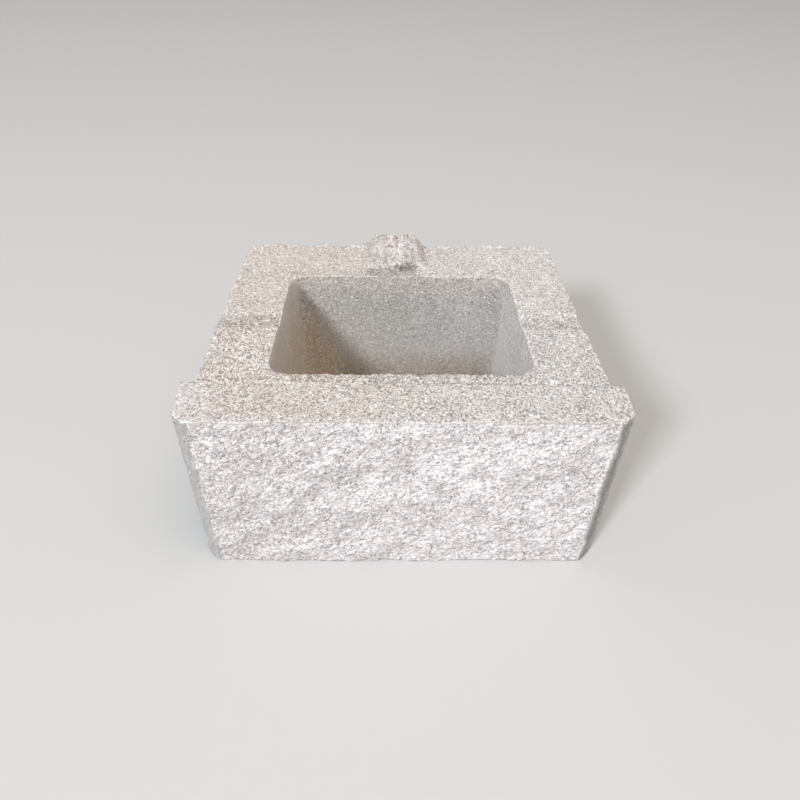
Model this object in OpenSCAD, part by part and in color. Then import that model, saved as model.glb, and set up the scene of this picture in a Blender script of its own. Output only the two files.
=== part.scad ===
// Split-faced concrete wall block, cast in one piece: a face slab that was split from its twin,
// a tapered hollow body behind it, and a lug on the rear of its top.
// The origin is under the middle of the block, with +Z up and the split face towards -Y.

/* [Overall] */
// Width of the split face, across both upright edges
face_w = 400; // [340:1:480]
// Height of the block without its lug
block_h = 200; // [140:1:260]
// Depth from the highest point of the split face to the rear
block_d = 300; // [260:1:380]

/* [Face slab] */
// Depth of the slab from the highest point of the split to its rear shoulders
slab_t = 57; // [48:1:68]
// How far the slab stands out past the body on each side
ear_w = 12; // [6:0.5:25]
// Width of the moulded bevel on each upright front edge, seen from the front
bevel_w = 12; // [6:0.5:25]
// Depth of that bevel, front to rear
bevel_d = 12; // [6:0.5:18]
// Width of the scored line across the top where the slab meets the body
score_w = 4; // [1:0.5:5]
// Depth of that scored line
score_d = 2; // [0.5:0.5:3]

/* [Split face] */
// Height of the broad swells of the split
split_swell = 3; // [0:0.5:8]
// Height of the small lumps on the swells
split_lump = 3.5; // [0.5:0.5:5]
// Length of a swell along the grain of the split
grain_l = 60; // [40:1:100]
// Width of a swell across that grain
grain_w = 32; // [24:1:60]
// Angle at which the grain climbs from left to right
grain_angle = 28; // [0:1:60]
// Distance between the corners of the broken facets
split_pitch = 10; // [8:0.5:30]
// Distance over which the relief dies away towards the top and bottom edges
split_fade = 26; // [10:1:60]
// Number that picks another split of the same kind
split_seed = 23; // [1:1:999]

/* [Body] */
// How far each side of the body leans in from the slab to the rear
tail_inset = 16; // [0:0.5:30]
// Radius of the two rear upright corners
rear_r = 8; // [3:0.5:20]

/* [Core] */
// Thickness from the highest point of the split to the core
face_wall = 70; // [60:1:90]
// Thickness of the rear wall
rear_wall = 66; // [58:1:90]
// Thickness of the side webs at the front of the core
web_front = 63; // [40:0.5:75]
// Thickness of the side webs at the rear of the core
web_rear = 59; // [40:0.5:80]
// Radius of the core's corners at the top
core_r = 17; // [10:0.5:30]
// How much the core narrows on each side from top to bottom, so that the mould draws out
core_draft = 3; // [0:0.5:6]

/* [Core bar mark] */
// Width of the mark that the mould's core bar leaves across the webs
bar_w = 25; // [12:1:34]
// Depth of that mark
bar_d = 2; // [0.5:0.5:5]
// How far each edge of the mark slopes
bar_slope = 5; // [1:0.5:6]

/* [Lug] */
// Height of the lug above the top
lug_h = 15; // [8:1:40]
// Width of the lug at its foot
lug_w = 68; // [44:1:90]
// Width of the lug at its top
lug_top_w = 42; // [20:1:43]
// Depth of the lug at its foot, from the rear of the block
lug_d = 50; // [28:1:57]
// Depth of the lug at its top
lug_top_d = 16; // [8:1:24]

/* [Hidden] */
$fn = 64;
// Cutters and buried ends run past a face by this much
spare = 2;
front_y = -block_d / 2;
rear_y = block_d / 2;
// The shoulder behind the slab, and the two ends of the core
shoulder_y = front_y + slab_t;
core_front_y = front_y + face_wall;
core_rear_y = rear_y - rear_wall;
core_mid_y = (core_front_y + core_rear_y) / 2;
// The body's half width at any depth, from its taper between the shoulder and the rear
function body_half(y) = face_w / 2 - ear_w - tail_inset * (y - shoulder_y) / (rear_y - shoulder_y);
// Corners of a plan that is symmetrical about the middle of the block, anticlockwise from front left
function plan(half_front, y_front, half_rear, y_rear) = [
    [-half_front, y_front],
    [half_front, y_front],
    [half_rear, y_rear],
    [-half_rear, y_rear]
];
core_plan = plan(
    body_half(core_front_y) - web_front, core_front_y,
    body_half(core_rear_y) - web_rear, core_rear_y
);

// Outward direction of the edge from a to b of an anticlockwise plan
function outward(a, b) = [b.y - a.y, a.x - b.x] / norm(b - a);
// Centres of the corner rounds of radius r: each corner moved in square to both of its edges
function round_centres(pts, r) = [
    for (i = [0 : len(pts) - 1])
        let (
            last = pts[(i + len(pts) - 1) % len(pts)],
            next = pts[(i + 1) % len(pts)],
            n1 = outward(last, pts[i]),
            n2 = outward(pts[i], next)
        )
        pts[i] - r * (n1 + n2) / (1 + n1 * n2)
];

// Random heights on a net that lies along the grain, blended smoothly between its knots
net_size = 96;
swell_net = rands(-1, 1, net_size * net_size, split_seed);
lump_net = rands(-1, 1, net_size * net_size, split_seed + 1);
function smooth(t) = t * t * (3 - 2 * t);
function blend(a, b, t) = a + (b - a) * t;
function knot(net, i, j) = net[(i + net_size / 2) * net_size + j + net_size / 2];
function relief(net, length, width, x, z) =
    let (
        s = (x * cos(grain_angle) + z * sin(grain_angle)) / length,
        t = (z * cos(grain_angle) - x * sin(grain_angle)) / width,
        i = floor(s),
        j = floor(t),
        u = smooth(s - i),
        v = smooth(t - j)
    )
    blend(
        blend(knot(net, i, j), knot(net, i + 1, j), u),
        blend(knot(net, i, j + 1), knot(net, i + 1, j + 1), u),
        v
    );
// The swells die away towards the top and bottom edges, where the block was nicked before it broke
function fade(z) = smooth(min(1, max(0, min(z, block_h - z)) / split_fade));
// Height of the split forward of its line: swells with lumps of half their size on them
function split_height(x, z) =
    fade(z) * split_swell * relief(swell_net, grain_l, grain_w, x, z)
    + (1 + fade(z)) / 2 * split_lump * relief(lump_net, grain_l / 2, grain_w / 2, x, z);

// The facets lie on a net that runs past the block on all sides
cells_x = ceil(face_w / split_pitch) + 2;
cells_z = ceil(block_h / split_pitch) + 2;
net_x = [for (i = [0 : cells_x]) (i - cells_x / 2) * split_pitch];
net_z = [for (j = [0 : cells_z]) block_h / 2 + (j - cells_z / 2) * split_pitch];
net_heights = [for (z = net_z) [for (x = net_x) split_height(x, z)]];
// The highest knot between the bevels is brought to the very front of the block, and no other is higher
highest = max([
    for (j = [0 : cells_z])
        for (i = [0 : cells_x])
            if (abs(net_x[i]) < face_w / 2 - bevel_w && net_z[j] > 0 && net_z[j] < block_h) net_heights[j][i]
]);
function net_y(i, j) = front_y + max(0, highest - net_heights[j][i]);
// The line along which the block was split
split_y = front_y + highest;
// The body starts inside the slab, where its front corners are buried
body_front_y = (split_y + bevel_d + shoulder_y) / 2;
body_plan = plan(body_half(body_front_y), body_front_y, body_half(rear_y), rear_y);

// The tapered body, with its upright corners rounded
module body() {
    centres = round_centres(body_plan, rear_r);
    linear_extrude(block_h) polygon(centres);
    for (i = [0 : len(centres) - 1]) {
        a = centres[i];
        b = centres[(i + 1) % len(centres)];
        reach = rear_r * outward(a, b);
        translate([a.x, a.y, 0]) cylinder(h = block_h, r = rear_r);
        linear_extrude(block_h) polygon([a, a + reach, b + reach, b]);
    }
}

// Everything behind the split, as one net of broken facets over a plain rear face
module split_solid() {
    row = cells_x + 1;
    count = row * (cells_z + 1);
    knots = [for (j = [0 : cells_z]) for (i = [0 : cells_x]) [net_x[i], net_y(i, j), net_z[j]]];
    rear = [
        for (z = [net_z[0], net_z[cells_z]])
            for (x = [net_x[0], net_x[cells_x]]) [x, shoulder_y, z]
    ];
    facets = [
        for (j = [0 : cells_z - 1])
            for (i = [0 : cells_x - 1])
                let (k = j * row + i)
                each (i + j) % 2 == 0
                    ? [[k, k + row, k + row + 1], [k, k + row + 1, k + 1]]
                    : [[k, k + row, k + 1], [k + 1, k + row, k + row + 1]]
    ];
    top_row = [for (i = [0 : cells_x]) cells_z * row + i];
    low_row = [for (i = [cells_x : -1 : 0]) i];
    left_column = [for (j = [0 : cells_z]) j * row];
    right_column = [for (j = [cells_z : -1 : 0]) j * row + cells_x];
    polyhedron(
        concat(knots, rear),
        concat(facets, [
            concat(top_row, [count + 3, count + 2]),
            concat(low_row, [count, count + 1]),
            concat(left_column, [count + 2, count]),
            concat(right_column, [count + 1, count + 3]),
            [count, count + 2, count + 3, count + 1]
        ])
    );
}

// The slab: its moulded outline, with the bevels carried on past the split, cut off by the split
module face_slab() {
    bevel_reach = (highest + spare) * bevel_w / bevel_d;
    intersection() {
        linear_extrude(block_h)
            polygon([
                [-face_w / 2, shoulder_y],
                [-face_w / 2, split_y + bevel_d],
                [-face_w / 2 + bevel_w + bevel_reach, front_y - spare],
                [face_w / 2 - bevel_w - bevel_reach, front_y - spare],
                [face_w / 2, split_y + bevel_d],
                [face_w / 2, shoulder_y]
            ]);
        split_solid();
    }
}

// The core's walls lean in towards the bottom, about corner rounds that stay upright
module core() {
    spare_draft = core_draft * spare / block_h;
    hull()
        for (centre = round_centres(core_plan, core_r))
            translate([centre.x, centre.y, -spare])
                cylinder(
                    h = block_h + 2 * spare,
                    r1 = core_r - core_draft - spare_draft,
                    r2 = core_r + spare_draft,
                    $fn = 32
                );
}

// A shallow trough across both webs, at the middle of the core
module bar_mark() {
    translate([-face_w / 2, core_mid_y, block_h])
        rotate([90, 0, 90])
            linear_extrude(face_w)
                polygon([
                    [-bar_w / 2, 0],
                    [-bar_w / 2 + bar_slope, -bar_d],
                    [bar_w / 2 - bar_slope, -bar_d],
                    [bar_w / 2, 0],
                    [bar_w / 2, spare],
                    [-bar_w / 2, spare]
                ]);
}

// A notch along the top of the shoulder
module score_line() {
    translate([-face_w / 2, shoulder_y, block_h])
        rotate([90, 0, 90])
            linear_extrude(face_w)
                polygon([
                    [-score_w / 2, 0],
                    [0, -score_d],
                    [score_w / 2, 0],
                    [score_w / 2, spare],
                    [-score_w / 2, spare]
                ]);
}

// The lug has sloping flanks and a sloping front, and its rear is in line with the rear of the block
module lug() {
    intersection() {
        translate([0, rear_y, block_h - spare])
            rotate([90, 0, 0])
                linear_extrude(lug_d)
                    polygon([
                        [-lug_w / 2, 0],
                        [lug_w / 2, 0],
                        [lug_w / 2, spare],
                        [lug_top_w / 2, spare + lug_h],
                        [-lug_top_w / 2, spare + lug_h],
                        [-lug_w / 2, spare]
                    ]);
        translate([-lug_w / 2, rear_y, block_h - spare])
            rotate([90, 0, 90])
                linear_extrude(lug_w)
                    polygon([
                        [-lug_d, 0],
                        [0, 0],
                        [0, spare + lug_h],
                        [-lug_top_d, spare + lug_h],
                        [-lug_d, spare]
                    ]);
    }
}

module block() {
    color("#c8c3ba")
        union() {
            difference() {
                union() {
                    face_slab();
                    body();
                }
                core();
                bar_mark();
                score_line();
            }
            lug();
        }
}

block();
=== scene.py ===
"""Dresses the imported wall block: the torn skin of its split face, the open grain of its moulded top,
its crumbled edges, its concrete, and the stage that it is shown on. Lengths are in metres, in the CAD frame."""

from functools import partial
from math import ceil, pi, radians
from typing import NamedTuple

import bmesh
import bpy
import numpy as np
from bpy.props import FloatProperty, FloatVectorProperty, IntProperty, PointerProperty
from mathutils import Matrix, Vector, kdtree


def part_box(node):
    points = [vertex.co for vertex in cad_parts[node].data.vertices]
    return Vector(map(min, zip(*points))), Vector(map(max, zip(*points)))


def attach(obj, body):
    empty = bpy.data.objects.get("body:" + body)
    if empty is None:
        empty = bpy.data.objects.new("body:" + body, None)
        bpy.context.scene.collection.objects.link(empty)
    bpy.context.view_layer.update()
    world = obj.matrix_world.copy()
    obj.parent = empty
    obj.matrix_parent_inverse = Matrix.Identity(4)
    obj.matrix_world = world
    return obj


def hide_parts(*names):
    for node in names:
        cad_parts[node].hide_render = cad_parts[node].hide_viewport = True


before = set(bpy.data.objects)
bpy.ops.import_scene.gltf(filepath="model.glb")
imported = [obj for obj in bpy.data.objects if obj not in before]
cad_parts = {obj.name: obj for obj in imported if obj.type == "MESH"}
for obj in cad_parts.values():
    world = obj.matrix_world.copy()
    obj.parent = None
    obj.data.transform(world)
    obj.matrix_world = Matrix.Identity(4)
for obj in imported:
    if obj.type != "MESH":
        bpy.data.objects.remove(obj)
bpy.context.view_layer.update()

bl_info = {
    "name": "Split-face wall block",
    "version": (1, 0, 0),
    "blender": (4, 5, 0),
    "location": "View3D > Sidebar > Block",
    "description": "Dresses a split-face concrete wall block and sets its stage",
    "category": "Object",
}

MM = 0.001

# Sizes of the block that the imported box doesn't give, as in the part's source
NODE = "block"
LOW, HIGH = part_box(NODE)
LUG_H = 15 * MM
LUG_HALF_W = 34 * MM
TOP = HIGH[2] - LUG_H
HALF_W = HIGH[0]
REAR = HIGH[1]
FRONT = LOW[1]
SHOULDER = FRONT + 57 * MM
SPLIT_LINE = FRONT + 5.1 * MM
BEVEL_W = 12 * MM
BEVEL_D = 12 * MM
GRAIN_ANGLE = radians(28)
CORE_FRONT = FRONT + 70 * MM
CORE_REAR = REAR - 66 * MM
CORE_MID = (CORE_FRONT + CORE_REAR) / 2
CORE_HALF_W = 126 * MM
BAR_W = 25 * MM
BAR_D = 2 * MM
# How far the lug lies left of the middle on the block in the photograph, and the slab right of it
LUG_SHIFT = -5 * MM
SLAB_SHIFT = 1.5 * MM
# The scored line runs a little off square there, and starts behind the slab's shoulders at the left
SCORE_LAG = 1.8 * MM
SCORE_SLOPE = -0.0137


def linear(code):
    """Linear RGBA of an sRGB hex colour."""
    levels = [int(code[i : i + 2], 16) / 255 for i in (1, 3, 5)]
    return (*(v / 12.92 if v <= 0.04045 else ((v + 0.055) / 1.055) ** 2.4 for v in levels), 1.0)


class BlockLooks(bpy.types.PropertyGroup):
    """What a user would change on the block."""

    voxel: FloatProperty(
        name="Skin voxel",
        description="Size of the voxels that the block's skin is drawn with",
        default=1.5 * MM,
        unit="LENGTH",
    )
    triangles: IntProperty(
        name="Triangles",
        description="Number of triangles that the finished skin is thinned to",
        default=188000,
    )
    split_relief: FloatProperty(
        name="Split relief",
        description="Height of the torn lumps on the split face",
        default=2.5 * MM,
        unit="LENGTH",
    )
    edge_wear: FloatProperty(
        name="Edge wear",
        description="Depth to which the edges have crumbled",
        default=3.6 * MM,
        unit="LENGTH",
    )
    moulded_colour: FloatVectorProperty(
        name="Moulded colour",
        description="Colour of the cement skin on the moulded surfaces",
        subtype="COLOR",
        size=4,
        default=linear("#d1ccc9"),
    )
    split_colour: FloatVectorProperty(
        name="Split colour",
        description="Colour of the freshly split stone and cement",
        subtype="COLOR",
        size=4,
        default=linear("#f5f0f2"),
    )
    wall_colour: FloatVectorProperty(
        name="Wall colour",
        description="Colour of the outer walls and bevels, which the mould left smoother and greyer",
        subtype="COLOR",
        size=4,
        default=linear("#b4b4b5"),
    )
    core_colour: FloatVectorProperty(
        name="Core colour",
        description="Colour of the walls of the core, where fines were drawn along the mould",
        subtype="COLOR",
        size=4,
        default=linear("#c4c2c1"),
    )
    # Painted light: this colour lies over the top, more of it towards the right, paler and cooler as the light falls
    # there; it is also the real lime bloom beside the split and at the slab's left end
    bloom_colour: FloatVectorProperty(
        name="Bloom colour",
        description="Colour of the skin where lime bloom lies on it, to the right and beside the split",
        subtype="COLOR",
        size=4,
        default=linear("#d3d1d4"),
    )
    # Painted shade: this colour tints the cast shadow low on the left of the core, and the shade low on its rear wall
    stain_colour: FloatVectorProperty(
        name="Stain colour",
        description="Colour of the brown stain on the left of the core's walls",
        subtype="COLOR",
        size=4,
        default=linear("#d6c7b6"),
    )


class StageLooks(bpy.types.PropertyGroup):
    """What a user would change on the stage."""

    floor_colour: FloatVectorProperty(
        name="Floor colour",
        description="Colour of the plain floor",
        subtype="COLOR",
        size=4,
        default=linear("#d2d5d8"),
    )
    key_power: FloatProperty(
        name="Key power",
        description="Power of the large lamp at upper left, in front of the block",
        default=219.0,
        unit="POWER",
    )
    fill_power: FloatProperty(
        name="Fill power",
        description="Power of the warm lamp above the block",
        default=57.0,
        unit="POWER",
    )
    world_strength: FloatProperty(
        name="Room light",
        description="Strength of the even light from all round",
        default=0.45,
    )


def add_node(tree, kind, settings={}, links={}):
    """Adds a node with its settings, and its inputs by identifier, each a value or an output to link."""
    node = tree.nodes.new(kind)
    for name, value in settings.items():
        setattr(node, name, value)
    sockets = {socket.identifier: socket for socket in node.inputs}
    for name, value in links.items():
        if isinstance(value, bpy.types.NodeSocket):
            tree.links.new(value, sockets[name])
        else:
            sockets[name].default_value = value
    return node


def only_active(piece):
    bpy.ops.object.select_all(action="DESELECT")
    piece.select_set(True)
    bpy.context.view_layer.objects.active = piece


def delete(*things):
    bpy.ops.object.select_all(action="DESELECT")
    for thing in things:
        thing.select_set(True)
    bpy.ops.object.delete()


def apply_modifier(piece, kind, **settings):
    only_active(piece)
    bpy.ops.object.modifier_add(type=kind)
    modifier = piece.modifiers[-1]
    for name, value in settings.items():
        setattr(modifier, name, value)
    bpy.ops.object.modifier_apply(modifier=modifier.name)


def merged_copy(node):
    """A free copy of a CAD node's object, with its loose triangles merged."""
    only_active(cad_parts[node])
    bpy.ops.object.duplicate()
    piece = bpy.context.object
    piece.parent = None
    for key in list(piece.keys()):
        del piece[key]
    bpy.ops.object.mode_set(mode="EDIT")
    bpy.ops.mesh.select_all(action="SELECT")
    bpy.ops.mesh.remove_doubles(threshold=0.01 * MM)
    bpy.ops.object.mode_set(mode="OBJECT")
    return piece


def in_lug(place):
    """Whether a vertex of the solid is one of the lug's: on or above the top, and clear of the core's rim."""
    on_top = place.z > TOP - 0.1 * MM
    clear_of_rim = place.y > CORE_REAR + 5 * MM
    return on_top and clear_of_rim and abs(place.x) < LUG_HALF_W + 1 * MM


def in_slab(place):
    """Whether a vertex of the solid is one of the slab's, up to the rear side of the scored groove."""
    return place.y < SHOULDER + 2.5 * MM


def shift_part(piece, belongs, shift):
    """Moves a part of the casting sideways to where the photograph shows it."""
    only_active(piece)
    bpy.ops.object.mode_set(mode="EDIT")
    bpy.ops.mesh.select_mode(type="VERT")
    bpy.ops.mesh.select_all(action="DESELECT")
    bpy.ops.object.mode_set(mode="OBJECT")
    for vertex in piece.data.vertices:
        vertex.select = belongs(vertex.co)
    bpy.ops.object.mode_set(mode="EDIT")
    bpy.ops.transform.translate(value=(shift, 0, 0))
    bpy.ops.object.mode_set(mode="OBJECT")


# Where the concrete has broken off: the slab's rear right corner, the two rear corners of the body, a worn dip
# in the rear edge, the face's bottom left corner, and nicks in its bottom edge. Each is x, y, z and radius in mm.
CHIPS = (
    (206, -88, 206, 13),
    (173, 156, 206, 9),
    (160, 159, 209, 9.5),
    (-175, 156, 206, 8),
    (-107, 160, 210, 17),
    (-190, -147, -4, 8),
    (-17, -147, -1.5, 5.5),
    (79, -147, -1.5, 4.5),
    (131, -147, -2, 3.5),
)
# Deep pits at the foot of the lug, and holes torn in its front
FOOT_PITS = (
    (-3, 103, 201.5, 2.2),
    (3, 101.5, 200, 3.4),
    (7.5, 100.5, 199.5, 3.8),
    (12, 102, 200.5, 2.8),
    (17, 103, 201, 2),
    (9, 106, 203, 2),
)
LUG_HOLES = (
    (-10, 128, 213, 2.6),
    (-3, 120, 209.5, 2.4),
    (4, 126, 212, 2.8),
    (9, 116, 207.5, 2.4),
    (14, 124, 211, 2.6),
    (-7, 111, 205.5, 2.4),
    (13, 108, 204, 2.2),
)
# Crumbs that stick to the top, on the slab's rear left corner and beside the lug
CRUMBS = (
    (-197, -94, 200, 2.4),
    (-193.5, -94, 200, 2.2),
    (-189.5, -94, 199.5, 2.2),
    (-42, 147, 200, 4),
    (-47, 147, 199.5, 2.4),
    (-53, 148, 199.5, 2.2),
    (-44, 128, 199.5, 2.5),
)
# The humps on the lug's top
LUG_LUMPS = (
    (-16, 145, 210, 5),
    (-8, 146, 211, 4.6),
    (10, 144, 209.5, 6),
)

# Coarse stones that show in the top, in mm: a few all over it, and a cluster on the left web
STONE_COUNT = 150
STONE_AREA = (-185, -140), (185, 145)
CLUSTER_COUNT = 24
CLUSTER_PLACE, CLUSTER_SPREAD = (-147, -42), (8, 11)
STONE_RADIUS = 1.7, 3.2
STONE_DEPTH = 0.6
# They stay clear of the core, and of the body's sides, which taper from the slab to the rear
CORE_CLEAR = 5
SIDE_AT_SLAB, SLAB_REAR, SIDE_TAPER = 178, -93, 0.066

# Pits torn in the mark of the core bar, in mm, by turns on the left and the right web
PITS_PER_WEB = 13
PIT_FROM_X, PIT_TO_X = 126, 176
PIT_SPREAD = 8
PIT_RADIUS = 1.4, 2.4
PIT_RISE = 0.4


def scatter_stones():
    """Places of the coarse stones. Each is x, y, z and radius in mm."""
    chance = np.random.default_rng(11)
    places = [*chance.uniform(*STONE_AREA, (STONE_COUNT, 2))]
    places += [*chance.normal(CLUSTER_PLACE, CLUSTER_SPREAD, (CLUSTER_COUNT, 2))]
    half_core, front, rear = (v / MM for v in (CORE_HALF_W, CORE_FRONT, CORE_REAR))
    stones = []
    for (x, y), radius in zip(places, chance.uniform(*STONE_RADIUS, len(places))):
        over_core = abs(x) < half_core and front - CORE_CLEAR < y < rear + CORE_CLEAR
        if not over_core and abs(x) < SIDE_AT_SLAB - SIDE_TAPER * (y - SLAB_REAR):
            stones.append((x, y, TOP / MM - STONE_DEPTH * radius, radius))
    return stones


def scatter_pits():
    """Places of the pits in the bar's mark. Each is x, y, z and radius in mm."""
    chance = np.random.default_rng(5)
    middle = CORE_MID / MM
    places = chance.uniform(
        (PIT_FROM_X, middle - PIT_SPREAD, PIT_RADIUS[0]),
        (PIT_TO_X, middle + PIT_SPREAD, PIT_RADIUS[1]),
        (2 * PITS_PER_WEB, 3),
    )
    return [
        (x * side, y, (TOP - BAR_D) / MM + PIT_RISE, radius)
        for (x, y, radius), side in zip(places, (-1, 1) * PITS_PER_WEB)
    ]


def rough_balls(name, places, grain, roughness):
    """Rough lumps of stone at places, each x, y, z and radius in mm, joined in one object."""
    balls = []
    for place in places:
        x, y, z, radius = (v * MM for v in place)
        bpy.ops.object.select_all(action="DESELECT")
        bpy.ops.mesh.primitive_ico_sphere_add(subdivisions=3, radius=radius, location=(x, y, z))
        balls.append(bpy.context.object)
    for ball in balls:
        ball.select_set(True)
    bpy.context.view_layer.objects.active = balls[0]
    bpy.ops.object.join()
    lump = bpy.context.object
    lump.name = name
    bpy.ops.object.transform_apply(location=True, rotation=True, scale=True)
    texture = bpy.data.textures.new(name, "CLOUDS")
    texture.noise_scale = grain
    apply_modifier(lump, "DISPLACE", texture=texture, strength=roughness, mid_level=0.5)
    bpy.data.textures.remove(texture)
    return lump


# An arris is an edge sharper than this, but not between two faces of the split or of the marks on the top
ARRIS_ANGLE = radians(34)
ARRIS_SPACING = 1.5 * MM
SPLIT_FACING = 0.6
TOP_FACING = 0.4


def convex_edges(piece, spacing):
    """Points along the block's convex arrises."""
    net = bmesh.new()
    net.from_mesh(piece.data)
    points = []
    for edge in net.edges:
        if not (edge.is_manifold and edge.is_convex) or edge.calc_face_angle() < ARRIS_ANGLE:
            continue
        if all(face.normal.y < -SPLIT_FACING for face in edge.link_faces):
            continue
        if all(face.normal.z > TOP_FACING for face in edge.link_faces):
            continue
        a, b = (v.co for v in edge.verts)
        count = max(1, ceil(edge.calc_length() / spacing))
        points += [a.lerp(b, i / count) for i in range(count + 1)]
    net.free()
    return points


def nearest(points, places):
    """Which of some points is nearest to each place, and how far off it is."""
    tree = kdtree.KDTree(len(points))
    for i, point in enumerate(points):
        tree.insert(point, i)
    tree.balance()
    _, rows, distances = zip(*(tree.find(place) for place in places))
    return np.array(rows), np.array(distances)


def outside_balls(balls, places):
    """How far each place is outside the nearest of some balls, each x, y, z and radius in mm."""
    rows, distances = nearest([Vector(ball[:3]) * MM for ball in balls], places)
    return distances - np.array([ball[3] for ball in balls])[rows] * MM


def read_vertices(piece):
    mesh = piece.data
    places = np.empty(len(mesh.vertices) * 3)
    normals = np.empty(len(mesh.vertices) * 3)
    mesh.vertices.foreach_get("co", places)
    mesh.vertex_normals.foreach_get("vector", normals)
    return places.reshape(-1, 3), normals.reshape(-1, 3)


def soft_step(values, low, high):
    """0 below low, 1 above high, smooth between them."""
    t = np.clip((values - low) / (high - low), 0, 1)
    return t * t * (3 - 2 * t)


def rise(lengths, low, high):
    """A soft step between two limits in mm."""
    return soft_step(lengths, low * MM, high * MM)


def fall(lengths, low, high):
    """1 up to a low limit and 0 past a high one, both in mm."""
    return 1 - rise(lengths, low, high)


def at_least(least, share):
    """A share from 0 to 1, drawn in to run from least to 1."""
    return least + (1 - least) * share


# How far a normal has to point up or down, or out in front, before its face counts as doing so
FACING_UP = 0.5, 0.75
FACING_OUT = 0.45, 0.65
# How far a normal has to turn to one side before its face counts as a side wall of the core
FACING_SIDE = 0.3, 0.8

# How much of the crumbling reaches the edges of each part of the casting
CRUMBLED = {"rear": 1, "slab": 0.25, "core": 0.4, "body": 0.6}

# The least of what fades only in part: the tear at the split's top edge, the cut at the left end of the scored
# line, the painted light low on the core's left wall, and the pale split at its left end, where painted shade dims it
LEAST_TEAR = 0.35
LEAST_CUT = 0.3
LEAST_LEFT_WALL_LIGHT = 0.4
LEAST_PALE = 0.7
# The least of the brown painted shade, on the core's left wall, of the pale tear, at its right, and of the lug where
# torn
LEAST_BROWN = 0.75
LEAST_PALE_TEAR = 1 / 3
LEAST_LUG = 0.2

# The slanting edge of the cast shadow on the core's rear wall, below which the shadow is painted brown: a point of it
# and the way down from it
SHADOW_EDGE_X, SHADOW_EDGE_Z = -104 * MM, 178 * MM
SHADOW_EDGE_LEFT, SHADOW_EDGE_DOWN = 0.862, 0.507

# Light taken away, as a share of it. Painted shade: in the pits and holes, in the scored line's shadow, which has
# dust in it too, on the core's rear rim, in its rear right corner and low on its rear wall, and on the right bevel,
# which faces
# away from the key lamp. Dust: grey fines dragged up in front of the lug. The rest are only darker: before and behind
# the core, in the bar's mark, and on the lug's flank and front
DUST_AND_SHADE = {
    "front_pit": 0.36,
    "foot_pit": 0.66,
    "lug_pit": 0.25,
    "score_dust_and_shadow": 0.16,
    "before_core": 0.14,
    "bar": 0.13,
    "core_rim": 0.06,
    "behind_core": 0.06,
    "left_behind_core": 0.13,
    "dragged": 0.3,
    "flank": 0.05,
    "low_front": 0.2,
    "right_front": 0.04,
    "deep_core_shade": 0.26,
    "right_corner": 0.1,
    "right_bevel_shade": 0.34,
}
# The share of the right bevel's painted shade that its outer edge has
OUTER_BEVEL = 0.06 / DUST_AND_SHADE["right_bevel_shade"]
# Light given back besides, as a share of it. Wear: on the worn edges and on the split's top, where it is rubbed.
# Painted highlights: along the front top edge, which wear pales too, on the core's front rim and on the slab's edge
# behind the scored line. Painted light: on the shaded left wall of the core. A little more on the slab's top and the
# lug
WEAR_AND_LIGHT = {
    "worn_edge": 0.07,
    "lip_highlight_and_wear": 0.2,
    "front_rim_highlight": 0.18,
    "slab_edge_highlight": 0.12,
    "face_top": 0.06,
    "left_wall_light": 0.17,
    "slab_top": 0.05,
    "whole_lug": 0.05,
}
# How open the grain is: on an even skin, and what each place adds to that
EVEN_GRAIN = 1.1
GRAIN = {
    "open_top": 0.2,
    "struck_off": -0.45,
    "walls": -0.45,
    "torn": -0.1,
    "left_web": 0.3,
    "split": -0.36,
    "left_end": -0.3,
    "core": -0.34,
    "low_core": -0.28,
    "core_left": -0.28,
    "core_right": -0.12,
    "brown": 0.15,
}
# How much of a tint each place takes
GREY = {"walls": 1, "flank": 0.5, "dragged": 0.3}
SHADE_TINT = {"brown": 1, "deep_core_shade": 0.5}
BLOOM_AND_LIGHT = {"right_top_light": 1, "behind_split": 0.9, "left_end": 1}
PALE = {"fresh_split": 1, "flaked": 0.9, "pale_tear": 0.6, "left_web": 0.3}
CRACKED = {"split": 1, "torn": 0.8}
# How much of the mesh each place keeps when the skin is thinned
FINE_MESH = {"split": 1, "top": 1, "whole_lug": 1, "core_rim": 1, "seen_edge": 0.6}


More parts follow.
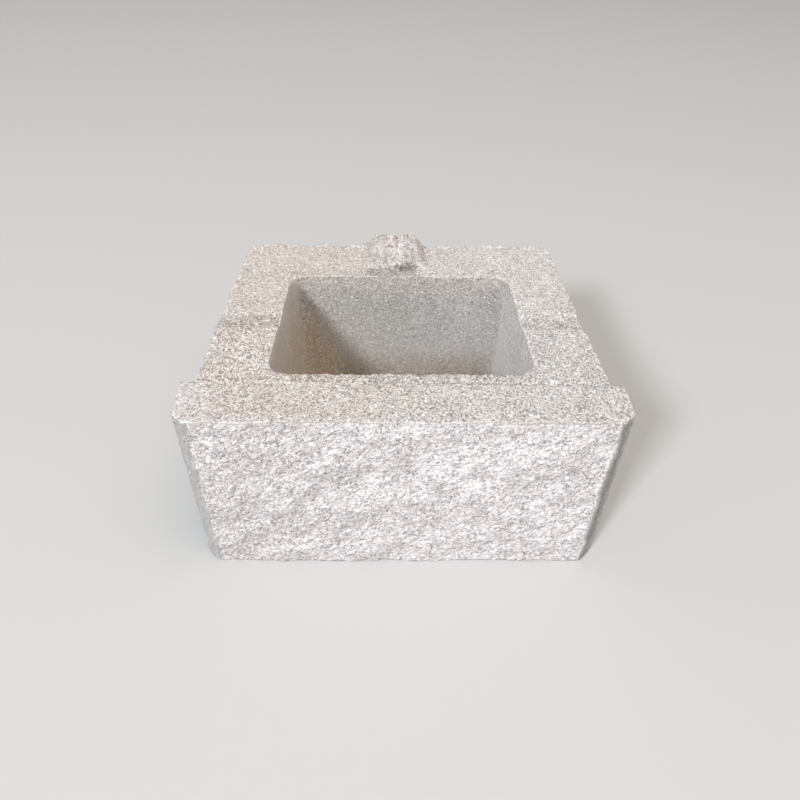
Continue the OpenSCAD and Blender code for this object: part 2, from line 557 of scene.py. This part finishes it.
class Skin:
    """The vertices of the block's skin, and how much of each place on the casting every one belongs to, from
    0 to 1. Limits in mm say where a place begins to fade and where it has ended."""

    def __init__(self, piece, arrises, stones, pits):
        places, normals = read_vertices(piece)
        self.x, self.y, self.z = places.T
        self.nx, self.ny, self.nz = normals.T
        self.within_core = np.abs(self.x) < CORE_HALF_W
        self.above_top = self.z - TOP
        self.mark_forms()
        self.mark_edges(nearest(arrises, places)[1])
        self.mark_slab()
        self.mark_body()
        self.mark_core()
        self.mark_lug()
        self.mark_stones(outside_balls(stones, places), outside_balls(pits, places))
        self.mix_colours()

    def strongest(self, amounts):
        return np.maximum.reduce([amount * getattr(self, name) for name, amount in amounts.items()])

    def mark_forms(self):
        """The main forms: the split, the bevels, the walls, the core, the top and the lug."""
        self.up = soft_step(self.nz, *FACING_UP)
        upright = 1 - self.up - soft_step(-self.nz, *FACING_UP)
        # Distance behind the planes of the two bevels, which were moulded and so stay plain
        inside_bevel = HALF_W - BEVEL_W - np.abs(self.x - SLAB_SHIFT)
        lean = Vector((BEVEL_D, BEVEL_W)).length
        behind_bevel = (inside_bevel * BEVEL_D + (self.y - SPLIT_LINE) * BEVEL_W) / lean
        front = soft_step(-self.ny, *FACING_OUT) * upright * (self.y < SPLIT_LINE + 16 * MM)
        self.split = front * rise(behind_bevel, 0.6, 2.2)
        self.bevel = front - self.split
        core_margin = 6 * MM
        along_core = (self.y > CORE_FRONT - core_margin) & (self.y < CORE_REAR + core_margin)
        self.core = upright * (self.within_core & along_core)
        self.whole_lug = rise(self.above_top, 0.8, 3)
        self.top = self.up * (self.above_top > -6 * MM) * (1 - self.whole_lug)
        self.walls = np.clip(upright - self.split - self.core - self.whole_lug, 0, 1)

    def mark_edges(self, from_edge):
        """Edges that crumble: most at the rear, less along the body and the core, and least on the slab."""
        self.edge = fall(from_edge, 0.5, 6) * rise(self.z, 0.5, 3)
        self.edge *= np.select(
            [self.y > REAR - 14 * MM, self.y < SHOULDER + 2 * MM, self.within_core],
            [CRUMBLED["rear"], CRUMBLED["slab"], CRUMBLED["core"]],
            CRUMBLED["body"],
        )
        near_split = self.y < SPLIT_LINE + 20 * MM
        self.seen_edge = self.edge * np.maximum(self.above_top > -10 * MM, near_split)
        # The front top edge is straight, and worn round only at its right end
        at_lip = (np.abs(self.y - SPLIT_LINE) < 9 * MM) * rise(self.above_top, -9, -3)
        self.worn_lip = at_lip * rise(self.x, 70, 120)
        # The rest of the edge has a painted highlight, with the paleness of wear
        self.lip_highlight_and_wear = (at_lip - self.worn_lip) * fall(from_edge, 0.6, 2)

    def mark_slab(self):
        """The split, the slab's top and the scored line behind it."""
        # The split is torn less near its top edge, where it is rubbed too, and is painted less pale towards the left,
        # as painted shade across the face
        self.tear = self.split * at_least(LEAST_TEAR, rise(-self.above_top, 1, 9))
        self.face_top = self.split * rise(self.above_top, -22, -4)
        self.fresh_split = self.split * at_least(LEAST_PALE, fall(-self.x, -60, 170))
        # The right bevel has painted shade, as it faces away from the key lamp, least of all along its outer edge,
        # which catches some light
        inside_edge = rise(HALF_W + SLAB_SHIFT - self.x, 3, 8)
        self.right_bevel_shade = self.bevel * (self.x > 0) * at_least(OUTER_BEVEL, inside_edge)
        # The top beside the split has flaked off in a thin pale line, with a grey strip behind it
        behind_split = self.y - SPLIT_LINE
        self.flaked = self.top * fall(behind_split, 0.3, 2.4) * (1 - self.worn_lip)
        self.behind_split = self.top * fall(behind_split, 7, 12)
        # The left end of the slab's top is greyer and smoother
        self.slab_top = self.top * (self.y < SHOULDER)
        self.left_end = self.slab_top * rise(SLAB_SHIFT - self.x - HALF_W, -42, -16)
        # The CAD groove is filled, and the line is cut again where it really runs, deeper at the right
        self.groove = self.top * fall(np.abs(self.y - SHOULDER), 3, 6)
        behind_line = self.y - (SHOULDER + SCORE_LAG + SCORE_SLOPE * self.x)
        on_slab = np.abs(self.x) < HALF_W - BEVEL_W - 2 * MM
        self.cut = self.top * fall(np.abs(behind_line), 0.5, 2.4) * on_slab
        self.cut *= at_least(LEAST_CUT, rise(self.x, -60, 60))
        # It has a strip of painted shadow behind it, with dust in it too, which is broader at the left, and a painted
        # highlight on the slab's edge in front
        strip_width = 3.4 + 4 * rise(-self.x, 0, 120)
        self.score_dust_and_shadow = self.top * rise(behind_line, -2.2, -0.6) * fall(behind_line, 1, strip_width)
        self.slab_edge_highlight = self.top * fall(np.abs(behind_line + 2.4 * MM), 0.6, 1.6)
        before_core = self.top * (behind_line > 0) * (self.y < CORE_FRONT)
        self.before_core = before_core * fall(np.abs(self.x) - CORE_HALF_W, -14, 0)

    def mark_body(self):
        """The body's top: the mark of the core bar, the left web, and what the mould struck off smooth."""
        from_bar = np.abs(self.y - CORE_MID) - BAR_W / 2
        self.bar = self.top * fall(from_bar, -3, 1)
        self.bar_bed = self.top * fall(from_bar, 3, 7)
        self.open_top = np.maximum(self.up, self.whole_lug)
        self.struck_off = self.open_top * soft_step(self.y, CORE_FRONT, CORE_REAR)
        left_web = rise(-self.x - CORE_HALF_W, -6, 0) * (self.y > SHOULDER) * fall(self.y, -30, 0)
        self.left_web = self.up * left_web
        # Painted light: the top is painted paler and cooler towards the right
        self.right_top_light = self.up * rise(self.x, -150, 170)

    def mark_core(self):
        """The core's walls and rims."""
        below_top = -self.above_top
        # The mould drew fines over the walls, more of them lower down
        self.drawn = self.core * rise(below_top, 1, 30)
        self.low_core = self.core * rise(below_top, 40, 110)
        self.core_left = self.core * soft_step(self.nx, *FACING_SIDE)
        self.core_right = self.core * soft_step(-self.nx, *FACING_SIDE)
        # Painted light: the right wall is painted paler, and the shaded left wall lighter, most of all at its top
        self.dusted = self.core * soft_step(-self.nx, 0.7, 1) * rise(below_top, 0, 8)
        self.left_wall_light = self.core * soft_step(self.nx, 0.5, 0.8) * at_least(LEAST_LEFT_WALL_LIGHT, rise(self.z, 120, 170))
        # The rear right corner, where the normal lies halfway between those of its two walls, is in shade
        self.right_corner = self.core * np.clip(2 * self.nx * self.ny, 0, 1) * (self.nx < 0)
        # Painted brown shade in the cast shadow low on the left of the rear wall, and fainter on the left wall
        below_line = SHADOW_EDGE_LEFT * (SHADOW_EDGE_X - self.x) + SHADOW_EDGE_DOWN * (SHADOW_EDGE_Z - self.z)
        off_left_wall = 1 - soft_step(self.nx, 0.3, 0.7)
        self.brown = self.core * rise(below_line, 0, 30) * at_least(LEAST_BROWN, off_left_wall)
        # Painted shade low on the rear wall, darker and browner towards the bottom
        self.deep_core_shade = self.core * soft_step(-self.ny, -0.3, 0.9) * fall(self.z, 70, 108) * rise(self.x, -90, -50)
        # The front rim has a painted highlight, the rear rim is torn and has painted shade where it would catch the
        # light, and the top behind it is dull, more so at the left
        from_front_rim = np.hypot(self.y - CORE_FRONT, self.above_top)
        self.front_rim_highlight = fall(from_front_rim, 0.8, 2.4) * (np.abs(self.x) < CORE_HALF_W - 8 * MM)
        behind_rim = self.y - CORE_REAR
        self.core_rim = fall(np.hypot(behind_rim, self.above_top), 2, 6) * self.within_core
        self.behind_core = self.top * (behind_rim > 0) * fall(behind_rim, 2, 20) * self.within_core
        self.left_behind_core = self.behind_core * (self.x < 0)

    def mark_lug(self):
        """The lug, its foot and the ground in front of it."""
        x = self.x - LUG_SHIFT
        # In front of the lug the mould's core dragged grey fines up over the rim
        behind_rim = self.y - CORE_REAR
        self.dragged = self.up * fall(np.abs(x + 3 * MM), 22, 34) * rise(behind_rim, -4, 0) * fall(behind_rim, 14, 24)
        self.rim = self.core_rim * (1 - self.dragged)
        # The lug's foot spreads at the right, its top has a notch, and its left flank is dull
        beyond_foot = x - LUG_HALF_W
        self.spread = self.top * rise(beyond_foot, -10, -4) * fall(beyond_foot, 6, 12)
        self.spread *= rise(self.y - REAR, -56, -46)
        self.notch = self.whole_lug * fall(np.abs(self.x + 1 * MM), 1, 4) * rise(self.above_top, 11, 14)
        self.flank = self.whole_lug * rise(-x, 5, 13)
        self.low_front = self.whole_lug * fall(self.above_top, 5, 11) * soft_step(-self.ny, 0.1, 0.3)
        self.right_front = self.whole_lug * rise(x, 6, 12)
        # It is torn open in front, on its right half, and the tear is palest at the left
        self.torn = (self.whole_lug + self.top * (behind_rim > 12 * MM)) * rise(x, -13, -7)
        self.torn *= fall(x, 18, 24) * rise(self.above_top, 0.5, 2)
        self.pale_tear = self.torn * at_least(LEAST_PALE_TEAR, fall(self.x, 0, 8))
        self.lug = self.whole_lug * at_least(LEAST_LUG, 1 - self.torn)

    def mark_stones(self, from_stone, from_pit):
        """Coarse stones, and pits: in the bar's mark, at the lug's foot and in the lug."""
        self.stone = self.up * fall(from_stone, -0.8, 0.5)
        # The pits and holes are painted with shade, darkest at the lug's foot
        pit = fall(from_pit, -0.3, 0.9)
        self.front_pit = pit * (self.y < CORE_REAR)
        self.foot_pit = (pit - self.front_pit) * (self.above_top < 3 * MM)
        self.lug_pit = pit - self.front_pit - self.foot_pit

    def mix_colours(self):
        """What the concrete's colour reads besides, and how coarse the mesh may be."""
        self.cracked = self.strongest(CRACKED)
        self.worn_edge = self.edge * (1 - self.core_rim) * (1 - self.whole_lug)
        self.dust = self.strongest(DUST_AND_SHADE)
        self.wear = self.strongest(WEAR_AND_LIGHT)
        self.grain = EVEN_GRAIN + sum(amount * getattr(self, name) for name, amount in GRAIN.items())
        self.stain = self.strongest(SHADE_TINT)
        self.grey = self.strongest(GREY)
        self.bloom = self.strongest(BLOOM_AND_LIGHT)
        self.pale = self.strongest(PALE)
        self.plain = 1 - self.strongest(FINE_MESH)


# Places that the modifiers work on, besides those of the reliefs: rounds of smoothing, depth of a cut, and
# where the mesh may be thinned
SMOOTHED = {
    "edge": 2,
    "rim": 2,
    "bar_bed": 30,
    "groove": 24,
    "worn_lip": 12,
    "lug": 24,
    "spread": 60,
    "split": 4,
}
SUNK = {"cut": 1.1 * MM, "notch": 3.5 * MM}
THINNED = "plain"

# Places that the concrete's colour reads
COLOUR_ZONES = (
    "pale",
    "stone",
    "drawn",
    "dusted",
    "stain",
    "grey",
    "bloom",
    "dust",
    "wear",
    "cracked",
    "grain",
)
# An attribute can't have the name of a vertex group, so its name ends in this
ATTRIBUTE_END = "_skin"
WEIGHT_STEPS = 20


class Relief(NamedTuple):
    """One layer of relief: its place, the size of its grain, its height and the level that stays put, with the
    guide that stretches it, and whether its noise is creased or has a finer octave."""

    zone: str
    grain: float
    height: float
    level: float = 0.5
    guide: str = ""
    hard: bool = False
    depth: int = 1


def reliefs(looks):
    """The layers of relief, in the order they are laid."""
    return (
        Relief("tear", 12 * MM, looks.split_relief * 0.45, guide="grain"),
        Relief("tear", 7 * MM, looks.split_relief, 0.4, guide="short_grain", hard=True),
        Relief("tear", 3.6 * MM, looks.split_relief),
        Relief("top", 24 * MM, 1.0 * MM),
        Relief("top", 6 * MM, 0.8 * MM, hard=True),
        Relief("top", 3.2 * MM, 1.3 * MM),
        Relief("rim", 4 * MM, 2.2 * MM),
        Relief("bar", 6 * MM, 1.4 * MM, hard=True),
        Relief("lug", 9 * MM, 2.4 * MM, 0.36),
        Relief("lug", 3.2 * MM, 1.4 * MM, 0.4),
        Relief("torn", 5 * MM, 7 * MM, 0.45, hard=True),
        Relief("torn", 3.4 * MM, 2.6 * MM, 0.45),
        Relief("core", 4 * MM, 0.5 * MM, guide="draw", depth=2),
        Relief("core", 3 * MM, 0.5 * MM, depth=2),
        Relief("walls", 4 * MM, 0.4 * MM, guide="draw", depth=2),
        Relief("walls", 3 * MM, 0.5 * MM, depth=2),
        Relief("edge", 14 * MM, looks.edge_wear * 0.4, 0.52),
        Relief("edge", 4.5 * MM, looks.edge_wear * 2, 0.51),
    )


def mark_group(piece, name, weights):
    """A place as a vertex group for the modifiers, in even steps of weight."""
    group = piece.vertex_groups.new(name=name)
    steps = np.rint(weights * WEIGHT_STEPS).astype(int)
    for step in range(1, WEIGHT_STEPS + 1):
        rows = np.flatnonzero(steps == step)
        if len(rows):
            group.add(rows.tolist(), step / WEIGHT_STEPS, "REPLACE")


def keep_attribute(piece, name, values):
    attribute = piece.data.attributes.new(name, "FLOAT", "POINT")
    attribute.data.foreach_set("value", values.astype(np.float32))


def lay_relief(piece, layer, guides):
    texture = bpy.data.textures.new(layer.zone, "CLOUDS")
    texture.noise_scale = layer.grain
    texture.noise_depth = layer.depth
    texture.noise_type = "HARD_NOISE" if layer.hard else "SOFT_NOISE"
    settings = {"texture_coords": "LOCAL"}
    if layer.guide:
        settings = {"texture_coords": "OBJECT", "texture_coords_object": guides[layer.guide]}
    apply_modifier(
        piece,
        "DISPLACE",
        texture=texture,
        vertex_group=layer.zone,
        strength=layer.height,
        mid_level=layer.level,
        **settings,
    )
    bpy.data.textures.remove(texture)


def add_guides():
    """Empties that stretch a relief: along the grain of the split, and along the draw of the mould."""
    places = {
        "grain": ((0, -GRAIN_ANGLE, 0), (2.2, 1, 1)),
        "short_grain": ((0, -GRAIN_ANGLE, 0), (1.6, 1, 1)),
        "draw": ((0, 0, 0), (1, 1, 5)),
    }
    guides = {}
    for name, (turn, stretch) in places.items():
        bpy.ops.object.select_all(action="DESELECT")
        bpy.ops.object.empty_add(rotation=turn)
        guides[name] = bpy.context.object
        guides[name].scale = stretch
    bpy.context.view_layer.update()
    return guides


class OBJECT_OT_cast_block(bpy.types.Operator):
    """Model the skin of the cast block over the CAD solid and give it its concrete"""

    bl_idname = "object.cast_block"
    bl_label = "Cast block"

    def execute(self, context):
        looks = context.scene.block_looks
        piece = merged_copy(NODE)
        piece.name = "cast_block"
        arrises = convex_edges(piece, ARRIS_SPACING)
        shift_part(piece, in_lug, LUG_SHIFT)
        shift_part(piece, in_slab, SLAB_SHIFT)

        pits = [*FOOT_PITS, *LUG_HOLES, *scatter_pits()]
        chips = rough_balls("chips", [*CHIPS, *pits], grain=5 * MM, roughness=3 * MM)
        apply_modifier(piece, "BOOLEAN", object=chips, operation="DIFFERENCE", solver="EXACT", use_self=True)
        delete(chips)
        stones = scatter_stones()
        lumps = [
            rough_balls("crumbs", CRUMBS, grain=3 * MM, roughness=1.5 * MM),
            rough_balls("stones", stones, grain=3 * MM, roughness=1 * MM),
            rough_balls("lumps", LUG_LUMPS, grain=6 * MM, roughness=3 * MM),
        ]
        only_active(piece)
        for lump in lumps:
            lump.select_set(True)
        bpy.ops.object.join()
        apply_modifier(piece, "REMESH", mode="VOXEL", voxel_size=looks.voxel)

        layers = reliefs(looks)
        skin = Skin(piece, arrises, stones, pits)
        for name in dict.fromkeys([*SMOOTHED, *SUNK, *(layer.zone for layer in layers), THINNED]):
            mark_group(piece, name, getattr(skin, name))
        for name in COLOUR_ZONES:
            keep_attribute(piece, name + ATTRIBUTE_END, getattr(skin, name))

        for zone, rounds in SMOOTHED.items():
            apply_modifier(piece, "SMOOTH", factor=0.5, iterations=rounds, vertex_group=zone)
        for zone, depth in SUNK.items():
            apply_modifier(piece, "DISPLACE", vertex_group=zone, strength=-depth, mid_level=0.0)
        guides = add_guides()
        for layer in layers:
            lay_relief(piece, layer, guides)
        delete(*guides.values())

        triangles = 2 * len(piece.data.polygons)
        apply_modifier(
            piece,
            "DECIMATE",
            ratio=looks.triangles / triangles,
            vertex_group=THINNED,
            vertex_group_factor=1.0,
        )
        piece.vertex_groups.clear()
        bpy.ops.object.shade_smooth()

        piece.data.materials.clear()
        piece.data.materials.append(dry_cast_concrete(looks))
        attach(piece, "root")
        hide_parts(NODE)
        return {"FINISHED"}


# Sizes of the grains and marks in the concrete. The sand is drawn coarser than it is.
STONE_GRAIN = 2.9 * MM
FINES_GRAIN = 1.3 * MM
SAND_GRAIN = 0.8 * MM
PATCH_SIZE = 35 * MM
CREVICE_SIZE = 3 * MM
CREVICE_CLUSTER = 8 * MM
# Grains are crooked: they are shifted to and fro by up to a millimetre, over this distance
CROOKED_SIZE = 2.6 * MM
CROOKED_SHIFT = 2 * MM
# On the split they are longer along its grain
GRAIN_STRETCH = 1.9
# No grain is paler than white stone, or darker than a pore
PALEST, DARKEST = 1.36, 0.32
# Painted shadow in the crevices, where the lumps shade them
CREVICE_SHADE = -0.5
# The finest grain is a bump, and the moulded skin has half the split's
BUMP_HEIGHT = 1.3 * MM
MOULDED_BUMP = 0.5

# Colours of what lies in and on the cement skin, and of painted light and shade on it
# Painted light on the core's right wall
RIGHT_WALL_LIGHT_COLOUR = linear("#e0dfe1")
STONE_COLOUR = linear("#f0ece6")
PALE_STONES_COLOUR = linear("#f4f2ef")
DARK_STONES_COLOUR = linear("#8b8178")
# Voids are painted dark for the shade in them
VOID_SHADE_COLOUR = linear("#6a6159")


def lay_grains(node, place, cracked):
    """Crooked places for the grains, the same along the grain of the split, and each where it belongs."""
    shift = node(
        "ShaderNodeTexNoise",
        {},
        {"Vector": place, "Scale": 1 / CROOKED_SIZE, "Detail": 0.0},
    ).outputs["Color"]
    shift = node(
        "ShaderNodeVectorMath",
        {"operation": "SUBTRACT"},
        {"Vector": shift, "Vector_001": (0.5, 0.5, 0.5)},
    ).outputs[0]
    crooked = node(
        "ShaderNodeVectorMath",
        {"operation": "MULTIPLY_ADD"},
        {"Vector": shift, "Vector_001": (CROOKED_SHIFT, CROOKED_SHIFT, CROOKED_SHIFT), "Vector_002": place},
    ).outputs[0]
    along = node(
        "ShaderNodeMapping",
        {"vector_type": "TEXTURE"},
        {"Vector": crooked, "Rotation": (0, -GRAIN_ANGLE, 0), "Scale": (GRAIN_STRETCH, 1, 1)},
    ).outputs["Vector"]
    laid = node(
        "ShaderNodeMix",
        {"data_type": "VECTOR"},
        {"Factor_Float": cracked, "A_Vector": crooked, "B_Vector": along},
    ).outputs[1]
    return along, laid


def draw_crevices(node, along, cracked):
    """Crevices between the torn lumps of the split: thin lines along its grain, in clusters."""
    lines, clusters = (
        node("ShaderNodeTexNoise", {}, {"Vector": along, "Scale": 1 / size, "Detail": 1.0}).outputs["Fac"]
        for size in (CREVICE_SIZE, CREVICE_CLUSTER)
    )
    lines = node("ShaderNodeMath", {"operation": "SUBTRACT"}, {"Value": lines, "Value_001": 0.5}).outputs[0]
    lines = node("ShaderNodeMath", {"operation": "ABSOLUTE"}, {"Value": lines}).outputs[0]
    crevices = cracked
    for reading, none, full in ((lines, 0.045, 0.0), (clusters, 0.34, 0.56)):
        there = node(
            "ShaderNodeMapRange",
            {},
            {"Value": reading, "From Min": none, "From Max": full, "To Min": 0.0, "To Max": 1.0},
        ).outputs["Result"]
        crevices = node(
            "ShaderNodeMath",
            {"operation": "MULTIPLY"},
            {"Value": crevices, "Value_001": there},
        ).outputs[0]
    return crevices


def shade_grains(node, readings, open_grain, changes):
    """How light or dark the grains are. Each reading runs from a low and a high value of it to two shades that
    even out, so that the colours are what the eye gets from a little way off. Then come the changes."""
    shades = 0.0
    for reading, low, high, dark, light in readings:
        shade = node(
            "ShaderNodeMapRange",
            {},
            {"Value": reading, "From Min": low, "From Max": high, "To Min": dark, "To Max": light},
        ).outputs["Result"]
        shades = node("ShaderNodeMath", {"operation": "ADD"}, {"Value": shades, "Value_001": shade}).outputs[0]
    shades = node(
        "ShaderNodeMath",
        {"operation": "MULTIPLY_ADD"},
        {"Value": shades, "Value_001": open_grain, "Value_002": 1.0},
    ).outputs[0]
    for zone, change in changes:
        shades = node(
            "ShaderNodeMath",
            {"operation": "MULTIPLY_ADD"},
            {"Value": zone, "Value_001": change, "Value_002": shades},
        ).outputs[0]
    for operation, limit in (("MINIMUM", PALEST), ("MAXIMUM", DARKEST)):
        shades = node("ShaderNodeMath", {"operation": operation}, {"Value": shades, "Value_001": limit}).outputs[0]
    return shades


def spot_grains(node, stones, open_grain):
    """Pale stones, dark stones and voids: round spots at the middle of some grains, how much of each by chance.
    Fines cover most of them where the mould was drawn."""
    chances = node("ShaderNodeSeparateColor", {}, {"Color": stones.outputs["Color"]}).outputs
    spots = []
    for channel, rarest, surest, amount, inner, outer in (
        ("Red", 0.74, 0.92, 0.7, 0.3, 0.6),
        ("Green", 0.92, 0.97, 0.4, 0.25, 0.5),
        ("Blue", 0.86, 0.94, 0.55, 0.16, 0.34),
    ):
        spot = open_grain
        for reading, none, full, most in (
            (chances[channel], rarest, surest, amount),
            (stones.outputs["Distance"], outer, inner, 1.0),
        ):
            there = node(
                "ShaderNodeMapRange",
                {},
                {"Value": reading, "From Min": none, "From Max": full, "To Min": 0.0, "To Max": most},
            ).outputs["Result"]
            spot = node("ShaderNodeMath", {"operation": "MULTIPLY"}, {"Value": spot, "Value_001": there}).outputs[0]
        spots.append(spot)
    return spots


def bump_grains(node, proud, sunk, cracked, open_grain):
    """Bump for the grain that is finer than the mesh: what stands proud, less all that is sunk."""
    height = proud
    for hollow in sunk:
        height = node("ShaderNodeMath", {"operation": "SUBTRACT"}, {"Value": height, "Value_001": hollow}).outputs[0]
    strength = node(
        "ShaderNodeMapRange",
        {},
        {"Value": cracked, "From Min": 0.0, "From Max": 1.0, "To Min": MOULDED_BUMP, "To Max": 1.0},
    ).outputs["Result"]
    strength = node(
        "ShaderNodeMath",
        {"operation": "MULTIPLY"},
        {"Value": strength, "Value_001": open_grain},
    ).outputs[0]
    return node(
        "ShaderNodeBump",
        {},
        {"Strength": strength, "Distance": BUMP_HEIGHT, "Height": height},
    ).outputs["Normal"]


def dry_cast_concrete(looks):
    """Dry-cast concrete, moulded and then split. The moulded skin is beige grey and open grained, with pale
    stone grains and small voids painted dark with shade. The split is paler, because it shows clean stone. It is
    matt all over, and painted light and shade lie in its colour."""
    material = bpy.data.materials.new("dry_cast_concrete")
    material.use_nodes = True
    tree = material.node_tree
    tree.nodes.clear()
    node = partial(add_node, tree)
    place = node("ShaderNodeTexCoord").outputs["Object"]
    pale, stone, drawn, dusted, stain, grey, bloom, dust, wear, cracked, open_grain = (
        node("ShaderNodeAttribute", {"attribute_name": zone + ATTRIBUTE_END}).outputs["Fac"]
        for zone in COLOUR_ZONES
    )

    # Stone grains, fines and sand, and patches where the mix was wetter or drier
    along, laid = lay_grains(node, place, cracked)
    stones, fines = (
        node("ShaderNodeTexVoronoi", {}, {"Vector": laid, "Scale": 1 / size}) for size in (STONE_GRAIN, FINES_GRAIN)
    )
    sand, patches = (
        node("ShaderNodeTexNoise", {}, {"Vector": place, "Scale": 1 / size, "Detail": detail}).outputs["Fac"]
        for size, detail in ((SAND_GRAIN, 1.0), (PATCH_SIZE, 3.0))
    )
    fine_chance = node("ShaderNodeSeparateColor", {}, {"Color": fines.outputs["Color"]}).outputs["Red"]
    pointed = node("ShaderNodeNewGeometry").outputs["Pointiness"]
    crevices = draw_crevices(node, along, cracked)
    shades = shade_grains(
        node,
        (
            (fine_chance, 0.0, 1.0, -0.45, 0.45),
            (sand, 0.3, 0.7, -0.48, 0.48),
            # Painted shade in the crevices between the stone grains, and a little painted light on their middles
            (stones.outputs["Distance"], 0.75, 0.35, -0.09, 0.05),
            (patches, 0.3, 0.7, -0.06, 0.06),
            # Dust and painted shade in the mesh's hollows, and a painted highlight on its points
            (pointed, 0.42, 0.55, -0.14, 0.09),
        ),
        open_grain,
        ((crevices, CREVICE_SHADE), (dust, -1.0), (wear, 1.0)),
    )
    pale_stones, dark_stones, voids = spot_grains(node, stones, open_grain)

    # Cement skin by place, with painted light on the top's right and the core's right wall and painted brown shade in
    # the core, then the stones and voids in it
    colour = looks.moulded_colour
    for amount, tint in (
        (bloom, looks.bloom_colour),
        (grey, looks.wall_colour),
        (drawn, looks.core_colour),
        (dusted, RIGHT_WALL_LIGHT_COLOUR),
        (stain, looks.stain_colour),
        (pale, looks.split_colour),
        (stone, STONE_COLOUR),
        (pale_stones, PALE_STONES_COLOUR),
        (dark_stones, DARK_STONES_COLOUR),
        (voids, VOID_SHADE_COLOUR),
    ):
        colour = node(
            "ShaderNodeMix",
            {"data_type": "RGBA"},
            {"Factor_Float": amount, "A_Color": colour, "B_Color": tint},
        ).outputs[2]
    colour = node("ShaderNodeVectorMath", {"operation": "SCALE"}, {"Vector": colour, "Scale": shades}).outputs[0]

    bump = bump_grains(node, sand, (stones.outputs["Distance"], voids, crevices), cracked, open_grain)
    surface = node(
        "ShaderNodeBsdfPrincipled",
        {},
        {"Base Color": colour, "Roughness": 0.93, "IOR": 1.5, "Normal": bump},
    ).outputs["BSDF"]
    node("ShaderNodeOutputMaterial", {}, {"Surface": surface})
    return material


# Camera of the photograph, from a fit to the block's own edges
CAMERA_PLACE = (-15.1 * MM, -555.7 * MM, 603.2 * MM)
CAMERA_YAW = radians(1.647)
CAMERA_PITCH = radians(42.49)
CAMERA_ROLL = radians(1.296)
FOCAL_PIXELS = 682.0
IMAGE_PIXELS = 800
SENSOR = 36.0
CLIP_START = 0.01

# The lamps: name, direction from the block, distance, size and colour
LAMPS = (
    ("key", (-0.45, -0.65, 0.62), 6.0, 0.92, "#f8fbff"),
    ("fill", (0.22, -0.25, 1.0), 4.0, 2.5, "#ffeedb"),
)
ROOM_COLOUR = linear("#fffaf3")
FLOOR_SIZE = 8


class SCENE_OT_block_stage(bpy.types.Operator):
    """Set the plain pale floor, the soft studio light and the camera at the photograph's angle"""

    bl_idname = "scene.block_stage"
    bl_label = "Stage"

    def execute(self, context):
        looks = context.scene.stage_looks
        bpy.ops.object.select_all(action="DESELECT")
        bpy.ops.mesh.primitive_plane_add(size=FLOOR_SIZE, location=(0, 0, LOW[2]))
        floor = context.object
        floor.name = "floor"
        floor.data.materials.append(matt_paper(looks))

        centre = Vector((0, 0, TOP / 2))
        for name, direction, distance, size, tint in LAMPS:
            direction = Vector(direction).normalized()
            bpy.ops.object.light_add(
                type="AREA",
                location=centre + direction * distance,
                rotation=direction.to_track_quat("Z", "Y").to_euler(),
            )
            lamp = context.object
            lamp.name = name
            lamp.data.energy = getattr(looks, name + "_power")
            lamp.data.size = size
            lamp.data.color = linear(tint)[:3]

        world = bpy.data.worlds.new("room")
        world.use_nodes = True
        background = world.node_tree.nodes["Background"]
        background.inputs["Color"].default_value = ROOM_COLOUR
        background.inputs["Strength"].default_value = looks.world_strength
        context.scene.world = world

        turn = (
            Matrix.Rotation(-CAMERA_YAW, 3, "Z")
            @ Matrix.Rotation(pi / 2 - CAMERA_PITCH, 3, "X")
            @ Matrix.Rotation(CAMERA_ROLL, 3, "Z")
        )
        bpy.ops.object.camera_add(location=CAMERA_PLACE, rotation=turn.to_euler())
        camera = context.object
        camera.name = "photo_camera"
        camera.data.sensor_width = SENSOR
        camera.data.lens = SENSOR * FOCAL_PIXELS / IMAGE_PIXELS
        camera.data.clip_start = CLIP_START
        context.scene.camera = camera
        context.scene.view_settings.view_transform = "Standard"
        return {"FINISHED"}


def matt_paper(looks):
    """Matt backdrop paper: one even pale grey."""
    material = bpy.data.materials.new("matt_backdrop_paper")
    material.use_nodes = True
    surface = material.node_tree.nodes["Principled BSDF"]
    surface.inputs["Base Color"].default_value = looks.floor_colour
    surface.inputs["Roughness"].default_value = 0.95
    return material


class VIEW3D_PT_block(bpy.types.Panel):
    """The block's makers and looks"""

    bl_idname = "VIEW3D_PT_block"
    bl_label = "Wall block"
    bl_space_type = "VIEW_3D"
    bl_region_type = "UI"
    bl_category = "Block"

    def draw(self, context):
        for maker, looks in (
            (OBJECT_OT_cast_block, context.scene.block_looks),
            (SCENE_OT_block_stage, context.scene.stage_looks),
        ):
            box = self.layout.box()
            box.operator(maker.bl_idname)
            for name in looks.__annotations__:
                box.prop(looks, name)


CLASSES = (BlockLooks, StageLooks, OBJECT_OT_cast_block, SCENE_OT_block_stage, VIEW3D_PT_block)


def register():
    for cls in CLASSES:
        bpy.utils.register_class(cls)
    bpy.types.Scene.block_looks = PointerProperty(type=BlockLooks)
    bpy.types.Scene.stage_looks = PointerProperty(type=StageLooks)


def unregister():
    del bpy.types.Scene.stage_looks
    del bpy.types.Scene.block_looks
    for cls in reversed(CLASSES):
        bpy.utils.unregister_class(cls)


def main():
    register()
    bpy.ops.object.cast_block()
    bpy.ops.scene.block_stage()


if __name__ == "__main__":
    main()
